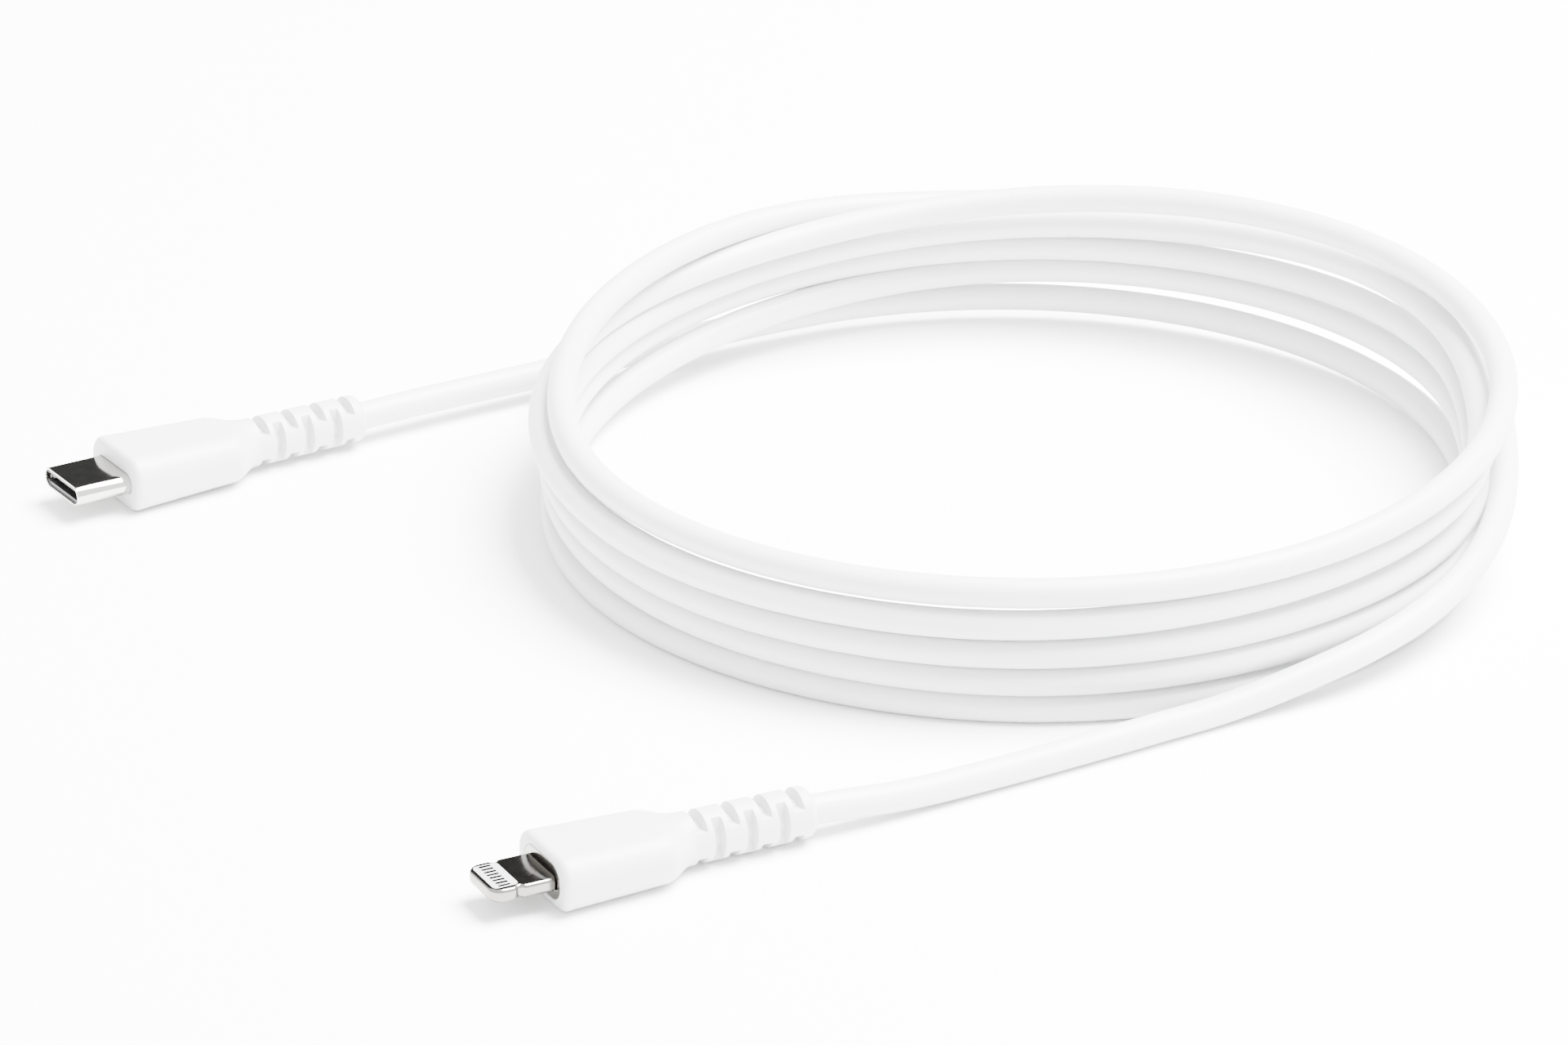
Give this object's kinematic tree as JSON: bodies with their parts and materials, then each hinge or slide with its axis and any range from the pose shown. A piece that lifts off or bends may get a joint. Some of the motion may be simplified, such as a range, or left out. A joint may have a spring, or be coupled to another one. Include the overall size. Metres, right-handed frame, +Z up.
{
  "type": "charging cable",
  "caption": "Coiled white charging cord with a USB-C plug at one end and a reversible flat-tab phone plug at the other, each in a soft grip with a slotted strain relief.",
  "frame": {"origin": "on the surface the cable lies on, midway between the two plugs", "axes": "+Z up; +X along the USB-C plug, from its mouth towards its cord; +Y across that plug, from the flat-tab plug towards the USB-C plug"},
  "size_m": [0.1605, 0.1224, 0.0204],
  "materials": {
    "cord_jacket": "smooth satin thermoplastic elastomer, white",
    "soft_white_mould": "satin moulded elastomer, white",
    "polished_shell": "polished nickel-plated stainless steel",
    "black_insulator": "black glass-filled plastic",
    "gold_contacts": "gold-plated copper alloy",
    "tab_pads": "plated contact pads",
    "spring_steel": "stamped spring steel",
    "circuit_board": "green solder mask",
    "chip_black": "black epoxy package",
    "tinned_steel": "stamped tinned steel",
    "inner_mould": "natural polyethylene",
    "copper_braid": "tinned copper braid",
    "plated_tab": "polished nickel plating",
    "white_carrier": "white moulded plastic",
    "core_red": "insulated wire",
    "core_black": "insulated wire",
    "core_green": "insulated wire",
    "core_white": "insulated wire",
    "core_blue": "insulated wire"
  },
  "bodies": {
    "cord": {"coil": "cord_jacket", "usb_c_cord_run": "cord_jacket", "tab_cord_run": "cord_jacket"},
    "usb_c_plug": {"usb_c_overmould": "soft_white_mould", "usb_c_shell": "polished_shell", "usb_c_housing": "black_insulator", "usb_c_upper_contacts": "gold_contacts", "usb_c_lower_contacts": "gold_contacts", "usb_c_upper_ground_spring": "spring_steel", "usb_c_lower_ground_spring": "spring_steel", "usb_c_board": "circuit_board", "usb_c_board_parts": "chip_black", "usb_c_shield_can": "tinned_steel", "usb_c_inner_mould": "inner_mould", "usb_c_crimp_ring": "tinned_steel", "usb_c_jacket_end": "cord_jacket", "usb_c_braid": "copper_braid", "usb_c_power_core": "core_red", "usb_c_ground_core": "core_black", "usb_c_data_plus_core": "core_green", "usb_c_data_minus_core": "core_white", "usb_c_sense_core": "core_blue"},
    "usb_c_left_arm": {"usb_c_left_latch": "spring_steel"},
    "usb_c_right_arm": {"usb_c_right_latch": "spring_steel"},
    "tab_plug": {"tab_overmould": "soft_white_mould", "tab_frame": "plated_tab", "tab_contact_carrier": "white_carrier", "tab_upper_contacts": "tab_pads", "tab_lower_contacts": "tab_pads", "tab_collar": "plated_tab", "tab_board": "circuit_board", "tab_board_parts": "chip_black", "tab_shield_can": "tinned_steel", "tab_inner_mould": "inner_mould", "tab_crimp_ring": "tinned_steel", "tab_jacket_end": "cord_jacket", "tab_braid": "copper_braid", "tab_power_core": "core_red", "tab_ground_core": "core_black", "tab_data_plus_core": "core_green", "tab_data_minus_core": "core_white", "tab_sense_core": "core_blue"}
  },
  "joints": [
    {"name": "usb_c_plug_bend", "type": "hinge", "parent": "cord", "child": "usb_c_plug", "pos_m": [0.0163, 0.0556, 0.0032], "axis": [0, 0, 1], "range_deg": [-30, 30], "stiffness_Nm_per_rad": 0.03, "deforming": ["usb_c_overmould", "usb_c_jacket_end", "usb_c_braid", "usb_c_power_core", "usb_c_ground_core", "usb_c_data_plus_core", "usb_c_data_minus_core", "usb_c_sense_core"]},
    {"name": "tab_plug_bend", "type": "hinge", "parent": "cord", "child": "tab_plug", "pos_m": [0.00603, -0.05668, 0.0029], "axis": [0, 0, 1], "range_deg": [-30, 30], "stiffness_Nm_per_rad": 0.03, "deforming": ["tab_overmould", "tab_jacket_end", "tab_braid", "tab_power_core", "tab_ground_core", "tab_data_plus_core", "tab_data_minus_core", "tab_sense_core"]},
    {"name": "left_latch_flex", "type": "hinge", "parent": "usb_c_plug", "child": "usb_c_left_arm", "pos_m": [-0.00855, 0.05902, 0.0032], "axis": [0, 0, 1], "range_deg": [-2.5, 0], "stiffness_Nm_per_rad": 0.002},
    {"name": "right_latch_flex", "type": "hinge", "parent": "usb_c_plug", "child": "usb_c_right_arm", "pos_m": [-0.00855, 0.05217, 0.0032], "axis": [0, 0, 1], "range_deg": [0, 2.5], "stiffness_Nm_per_rad": 0.002}
  ]
}
